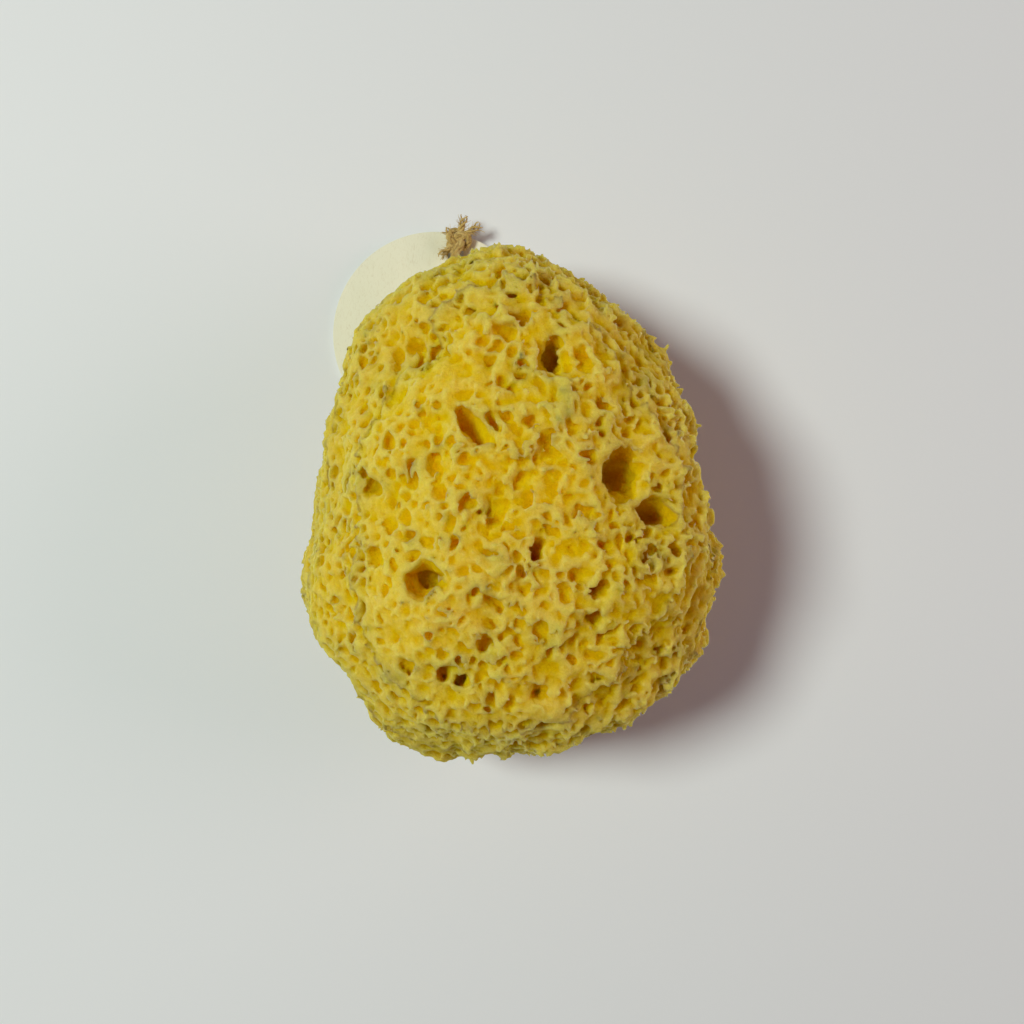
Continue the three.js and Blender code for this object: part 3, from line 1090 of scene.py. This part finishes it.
@dataclass
class Tag:
    """The round card that lies partly under the sponge."""

    diameter: float = 55.0
    thickness: float = 0.6
    hole: float = 4.4
    inset: float = 5.2  # from the rim to the hole's centre
    centre: tuple[float, float, float] = (-19.87, 45.33, 1.74)
    turned: float = 76.0
    tilt: float = 2.8
    soft_edge: float = 0.12

    def build(self) -> bpy.types.Object:
        """Cuts the disc, punches its hole and softens its edges.

        Returns:
            The card.
        """
        bpy.ops.object.select_all(action="DESELECT")
        bpy.ops.mesh.primitive_cylinder_add(
            vertices=192, radius=self.diameter / 2 * MM, depth=self.thickness * MM, location=(0, 0, 0)
        )
        card = bpy.context.object
        card.name = "card_tag"
        bpy.ops.object.select_all(action="DESELECT")
        bpy.ops.mesh.primitive_cylinder_add(
            vertices=48,
            radius=self.hole / 2 * MM,
            depth=4 * self.thickness * MM,
            location=((self.diameter / 2 - self.inset) * MM, 0, 0),
        )
        punch = bpy.context.object
        apply_modifier(card, "BOOLEAN", operation="DIFFERENCE", object=punch, solver="EXACT")
        bpy.data.objects.remove(punch, do_unlink=True)
        apply_modifier(card, "BEVEL", width=self.soft_edge * MM, segments=2, limit_method="ANGLE")
        turn = Matrix.Rotation(math.radians(self.turned), 4, "Z")
        tip = Matrix.Rotation(math.radians(-self.tilt), 4, "Y")
        card.data.transform(Matrix.Translation(Vector(self.centre) * MM) @ turn @ tip)
        only_select(card)
        bpy.ops.object.shade_smooth_by_angle(angle=math.radians(40))
        return card

    def dress(self, card: bpy.types.Object) -> None:
        """Gives the card its finish."""
        finish_piece(card, Slot.CARD, CardFinish().material(), "tag")


@dataclass(frozen=True)
class Tail:
    """A frayed end: its turn from +X, its rise and its length."""

    turned: float
    rise: float
    length: float


class StrandMesh:
    """Strands gathered into one mesh, each with its own shade."""

    def __init__(self) -> None:
        """Starts with no strands."""
        self.points: list[np.ndarray] = []
        self.faces: list[np.ndarray] = []
        self.shades: list[np.ndarray] = []
        self.count = 0

    def add(self, path: np.ndarray, radii: np.ndarray, sides: int, shade: float) -> None:
        """Adds a closed tube.

        Args:
            path: Points along its middle.
            radii: Its radius at each point.
            sides: How many sides it has.
            shade: Its shade, from 0 to 1.
        """
        ahead, side, across = self.frames(path)
        turns = 2 * np.pi * np.arange(sides) / sides
        out = np.cos(turns)[None, :, None] * side[:, None] + np.sin(turns)[None, :, None] * across[:, None]
        rings = path[:, None] + radii[:, None, None] * out
        ends = np.stack([path[0] - 0.3 * radii[0] * ahead[0], path[-1] + 0.3 * radii[-1] * ahead[-1]])
        points = np.concatenate([rings.reshape(-1, 3), ends])
        steps = len(path)
        n = np.arange(sides)
        m = (n + 1) % sides
        faces = []
        for step in range(steps - 1):
            a = step * sides
            b = a + sides
            faces.append(np.stack([a + n, a + m, b + m], axis=1))
            faces.append(np.stack([a + n, b + m, b + n], axis=1))
        first = np.full(sides, steps * sides)
        top = (steps - 1) * sides
        faces.append(np.stack([first, m, n], axis=1))
        faces.append(np.stack([first + 1, top + n, top + m], axis=1))
        self.points.append(points)
        self.faces.append(np.concatenate(faces) + self.count)
        self.shades.append(np.full(len(points), shade))
        self.count += len(points)

    @staticmethod
    def frames(path: np.ndarray) -> tuple[np.ndarray, np.ndarray, np.ndarray]:
        """Directions along a path and two across it that don't twist.

        Args:
            path: Points along the path.

        Returns:
            The three directions at each point.
        """
        ahead = unit(np.gradient(path, axis=0))
        side = np.empty_like(path)
        start = np.eye(3)[np.argmin(np.abs(ahead[0]))]
        side[0] = unit(np.cross(ahead[0], start))
        for n in range(1, len(path)):
            side[n] = unit(side[n - 1] - ahead[n] * (side[n - 1] @ ahead[n]))
        return ahead, side, np.cross(ahead, side)

    def build(self, name: str) -> bpy.types.Object:
        """Joins the strands.

        Args:
            name: Name of the piece.

        Returns:
            The mesh object with its shade attribute.
        """
        piece = mesh_object(name, np.concatenate(self.points), np.concatenate(self.faces))
        set_attribute(piece, "shade", np.concatenate(self.shades))
        return piece


def smooth_route(stops: np.ndarray, spacing: float) -> np.ndarray:
    """A smooth path through points, in even steps.

    Args:
        stops: The points that it goes through.
        spacing: Length of a step.

    Returns:
        Points along the path.
    """
    stops = np.asarray(stops, float)
    padded = np.concatenate([[2 * stops[0] - stops[1]], stops, [2 * stops[-1] - stops[-2]]])
    knots = np.concatenate([[0], np.cumsum(np.sqrt(np.linalg.norm(np.diff(padded, axis=0), axis=1)))])
    dense = []
    for n in range(1, len(padded) - 2):
        p, k = padded[n - 1:n + 3], knots[n - 1:n + 3]
        t = np.linspace(k[1], k[2], 40, endpoint=n == len(padded) - 3)[:, None]

        def between(a: np.ndarray, b: np.ndarray, i: int, j: int) -> np.ndarray:
            """Points between two rows, by the knots that they belong to."""
            return (a * (k[j] - t) + b * (t - k[i])) / (k[j] - k[i])

        lows = [between(p[i], p[i + 1], i, i + 1) for i in range(3)]
        mids = [between(lows[i], lows[i + 1], i, i + 2) for i in range(2)]
        dense.append(between(mids[0], mids[1], 1, 2))
    line = np.concatenate(dense)
    run = np.concatenate([[0], np.cumsum(np.linalg.norm(np.diff(line, axis=0), axis=1))])
    even = np.linspace(0, run[-1], max(3, round(run[-1] / spacing) + 1))
    return np.stack([np.interp(even, run, line[:, i]) for i in range(3)], axis=1)


@dataclass
class Twine:
    """Three-ply jute twine: a loop through the tag's hole, a knot, frayed tails and two legs."""

    seed: int = 11
    knot_at: tuple[float, float, float] = (-13.74, 69.92, 5.46)
    knot_radius: float = 1.95
    loop: tuple = (
        (-13.74, 69.92, 5.46),
        (-14.50, 66.87, 4.33),
        (-14.48, 66.96, 2.33),
        (-13.84, 69.53, 1.46),
        (-12.93, 73.16, 2.65),
        (-12.95, 73.07, 4.64),
        (-13.74, 69.92, 5.46),
    )
    legs: tuple = (
        (
            (-12.83, 43.69, 18.71),
            (-14.05, 48.09, 16.68),
            (-14.47, 49.58, 15.99),
            (-14.10, 59.75, 9.92),
            (-13.74, 69.92, 5.46),
        ),
        (
            (-16.39, 41.41, 18.74),
            (-17.99, 45.69, 16.70),
            (-18.54, 47.15, 16.01),
            (-16.14, 58.53, 9.94),
            (-13.74, 69.92, 5.46),
        ),
    )
    tails: tuple[Tail, ...] = (
        Tail(73, 16, 6.8),
        Tail(34, 12, 7.4),
        Tail(140, 10, 4.6),
        Tail(222, 6, 6.6),
    )
    plies: int = 3
    ply_radius: float = 0.46
    ply_offset: float = 0.42
    pitch: float = 5.5
    step: float = 0.35
    ply_sides: int = 7
    ply_lumps: float = 0.08
    ply_shades: tuple[float, float] = (0.35, 0.7)
    whole_to: float = 0.45  # share of a tail before its plies come apart
    opening: float = 1.6  # how far they part
    thinning: float = 0.75
    fibres_a_ply: int = 16
    fibre_lengths: tuple[float, float] = (0.2, 0.42)  # shares of the tail
    fibre_radii: tuple[float, float] = (0.10, 0.035)
    fibre_spread: float = 0.28
    fibre_curl: float = 0.22
    fibre_shades: tuple[float, float] = (0.4, 1.0)
    fibre_floor: float = 0.3  # least height over the ground
    stray_fibres: int = 420
    stray_lengths: tuple[float, float] = (0.6, 1.8)
    stray_radii: tuple[float, float] = (0.05, 0.02)
    stray_start: float = 0.7  # distance from the twine's middle
    stray_slants: tuple[float, float] = (0.3, 1.4)  # how far a stray fibre lies along the twine
    stray_curl: float = 0.25
    stray_shades: tuple[float, float] = (0.5, 1.0)
    stray_floor: float = 0.2
    rng: np.random.Generator = field(init=False)

    def __post_init__(self) -> None:
        """Seeds the generator."""
        self.rng = np.random.default_rng(self.seed)

    def knot_path(self) -> np.ndarray:
        """The overhand knot's path.

        Returns:
            Points along it.
        """
        turn = np.linspace(0, 4 * np.pi, 120)
        reach = self.knot_radius / 2 * (2 + np.cos(1.5 * turn))
        rise = self.knot_radius / 2 * np.sin(1.5 * turn)
        return np.array(self.knot_at) + np.stack([reach * np.cos(turn), reach * np.sin(turn), rise], axis=1)

    def lay(
        self, strands: StrandMesh, path: np.ndarray, opened: np.ndarray, thinned: np.ndarray
    ) -> list[np.ndarray]:
        """Lays the plies along a path.

        Args:
            strands: The mesh that they go into.
            path: Points along the twine's middle, evenly spaced.
            opened: How far apart the plies are at each point, 1 where they lie tight.
            thinned: How thick they are at each point, 1 where they are whole.

        Returns:
            The middle of each ply.
        """
        _, side, across = StrandMesh.frames(path)
        run = np.arange(len(path)) * np.linalg.norm(path[1] - path[0])
        middles = []
        for ply in range(self.plies):
            turn = 2 * np.pi * (run / self.pitch + ply / self.plies)
            out = np.cos(turn)[:, None] * side + np.sin(turn)[:, None] * across
            middle = path + (self.ply_offset * opened)[:, None] * out
            radii = self.ply_radius * thinned * (1 + self.ply_lumps * self.rng.normal(0, 1, len(path)))
            strands.add(middle, radii, self.ply_sides, self.rng.uniform(*self.ply_shades))
            middles.append(middle)
        return middles

    def fray(self, strands: StrandMesh, tail: Tail) -> None:
        """A tail whose plies come apart into fibres.

        Args:
            strands: The mesh that it goes into.
            tail: Where it points and how long it is.
        """
        rng = self.rng
        turn, rise = math.radians(tail.turned), math.radians(tail.rise)
        way = np.array([math.cos(rise) * math.cos(turn), math.cos(rise) * math.sin(turn), math.sin(rise)])
        share = np.linspace(0, 1, round(tail.length / self.step))
        path = np.array(self.knot_at) + share[:, None] * tail.length * way
        loose = np.clip((share - self.whole_to) / (1 - self.whole_to), 0, 1)
        middles = self.lay(strands, path, 1 + self.opening * loose**1.5, 1 - self.thinning * loose)
        for middle in middles:
            for _ in range(self.fibres_a_ply):
                start = rng.integers(len(share) // 3, len(share) * 3 // 4)
                length = tail.length * rng.uniform(*self.fibre_lengths)
                ahead = unit(middle[start + 1] - middle[start])
                ahead = unit(ahead + self.fibre_spread * rng.normal(0, 1, 3))
                curl = self.fibre_curl * rng.normal(0, 1, 3)
                steps = np.linspace(0, 1, 6)[:, None]
                line = middle[start] + length * (steps * ahead + steps**2 * curl)
                line[:, 2] = np.maximum(line[:, 2], self.fibre_floor)
                strands.add(line, np.linspace(*self.fibre_radii, 6), 3, rng.uniform(*self.fibre_shades))

    def hairs(self, strands: StrandMesh, path: np.ndarray, count: int) -> None:
        """Stray fibres that stand off the twine.

        Args:
            strands: The mesh that they go into.
            path: Points along the twine's middle.
            count: How many there are.
        """
        rng = self.rng
        ahead, side, across = StrandMesh.frames(path)
        for _ in range(count):
            n = rng.integers(1, len(path) - 1)
            turn = rng.uniform(0, 2 * np.pi)
            out = math.cos(turn) * side[n] + math.sin(turn) * across[n]
            way = unit(out + rng.choice((-1, 1)) * rng.uniform(*self.stray_slants) * ahead[n])
            length = rng.uniform(*self.stray_lengths)
            steps = np.linspace(0, 1, 4)[:, None]
            curl = self.stray_curl * rng.normal(0, 1, 3)
            line = path[n] + self.stray_start * out + length * (steps * way + steps**2 * curl)
            line[:, 2] = np.maximum(line[:, 2], self.stray_floor)
            strands.add(line, np.linspace(*self.stray_radii, 4), 3, rng.uniform(*self.stray_shades))

    def build(self) -> bpy.types.Object:
        """Makes the whole twine.

        Returns:
            The twine in one mesh.
        """
        strands = StrandMesh()
        routes = [smooth_route(stops, self.step) for stops in (self.loop, *self.legs)]
        routes.append(smooth_route(self.knot_path(), self.step))
        for route in routes:
            whole = np.ones(len(route))
            self.lay(strands, route, whole, whole)
            self.hairs(strands, route, round(self.stray_fibres * len(route) / sum(map(len, routes))))
        for tail in self.tails:
            self.fray(strands, tail)
        return strands.build("jute_twine")

    def dress(self, twine: bpy.types.Object) -> None:
        """Gives the twine its finish."""
        finish_piece(twine, Slot.JUTE, JuteFinish().material(), "twine")


@dataclass(frozen=True)
class Lamp:
    """A soft round lamp aimed at the sponge, placed by its turn from +X and its height, in degrees."""

    name: str
    colour: tuple[float, float, float]
    power: float
    distance: float  # metres
    turned: float
    height: float
    size: float  # metres

    def build(self) -> None:
        """Makes the lamp."""
        light = bpy.data.lights.new(self.name, "AREA")
        light.shape = "DISK"
        light.size = self.size
        light.energy = self.power
        light.color = self.colour
        lamp = bpy.data.objects.new(self.name, light)
        bpy.context.scene.collection.objects.link(lamp)
        turn, rise = math.radians(self.turned), math.radians(self.height)
        flat = self.distance * math.cos(rise)
        lamp.location = (flat * math.cos(turn), flat * math.sin(turn), self.distance * math.sin(rise))
        lamp.rotation_euler = (-lamp.location).to_track_quat("-Z", "Y").to_euler()


@dataclass
class Studio:
    """Floor, light and camera: a straight-down view in soft light from the left."""

    over: tuple[float, float] = (0.6, -2.0)  # millimetres
    height: float = 330.0
    view_height: float = 30.0
    frame_width: float = 250.9  # seen at the view height
    floor_size: float = 6.0  # metres
    floor_colour: tuple = linear(236, 237, 237)
    floor_roughness: float = 0.6
    floor_gloss: float = 0.1
    surrounding: tuple = (0.064, 0.050, 0.061, 1.0)
    lamps: tuple[Lamp, ...] = (
        Lamp("key", (0.92, 1.0, 0.93), 10.6, 1.2, 167.0, 59.0, 0.37),
        Lamp("fill", (1.0, 0.75, 0.78), 3.9, 1.1, 8.0, 22.0, 0.8),
    )

    def build(self) -> None:
        """Makes the floor, the lights, the world and the camera."""
        self.floor()
        self.lights()
        self.camera()
        view = bpy.context.scene.view_settings
        view.view_transform = "Standard"

    def floor(self) -> None:
        """A plain pale floor."""
        bpy.ops.object.select_all(action="DESELECT")
        bpy.ops.mesh.primitive_plane_add(size=self.floor_size, location=(0, 0, 0))
        floor = bpy.context.object
        floor.name = "floor"
        made, sheet = new_material("floor")
        surface = {
            "Base Color": self.floor_colour,
            "Roughness": self.floor_roughness,
            "Specular IOR Level": self.floor_gloss,
        }
        sheet.finish(surface)
        floor.data.materials.append(made)

    def lights(self) -> None:
        """A soft key from the left and a pale surrounding."""
        world = bpy.data.worlds.new("surrounding")
        bpy.context.scene.world = world
        world.use_nodes = True
        shade = world.node_tree.nodes["Background"]
        shade.inputs["Color"].default_value = self.surrounding
        shade.inputs["Strength"].default_value = 1.0
        for lamp in self.lamps:
            lamp.build()

    def camera(self) -> None:
        """A camera looking straight down."""
        lens = bpy.data.cameras.new("view")
        lens.angle = 2 * math.atan(self.frame_width / 2 / (self.height - self.view_height))
        lens.clip_start = 0.01
        viewer = bpy.data.objects.new("view", lens)
        bpy.context.scene.collection.objects.link(viewer)
        viewer.location = (self.over[0] * MM, self.over[1] * MM, self.height * MM)
        bpy.context.scene.camera = viewer


def main() -> None:
    """Builds the pieces and the studio, and reports each piece."""
    logging.basicConfig(level=logging.INFO, format="%(name)s: %(message)s", force=True)
    Studio().build()
    tag = Tag()
    tag.dress(tag.build())
    twine = Twine()
    twine.dress(twine.build())
    sponge = Sponge()
    sponge.dress(sponge.build())


if __name__ == "__main__":
    main()
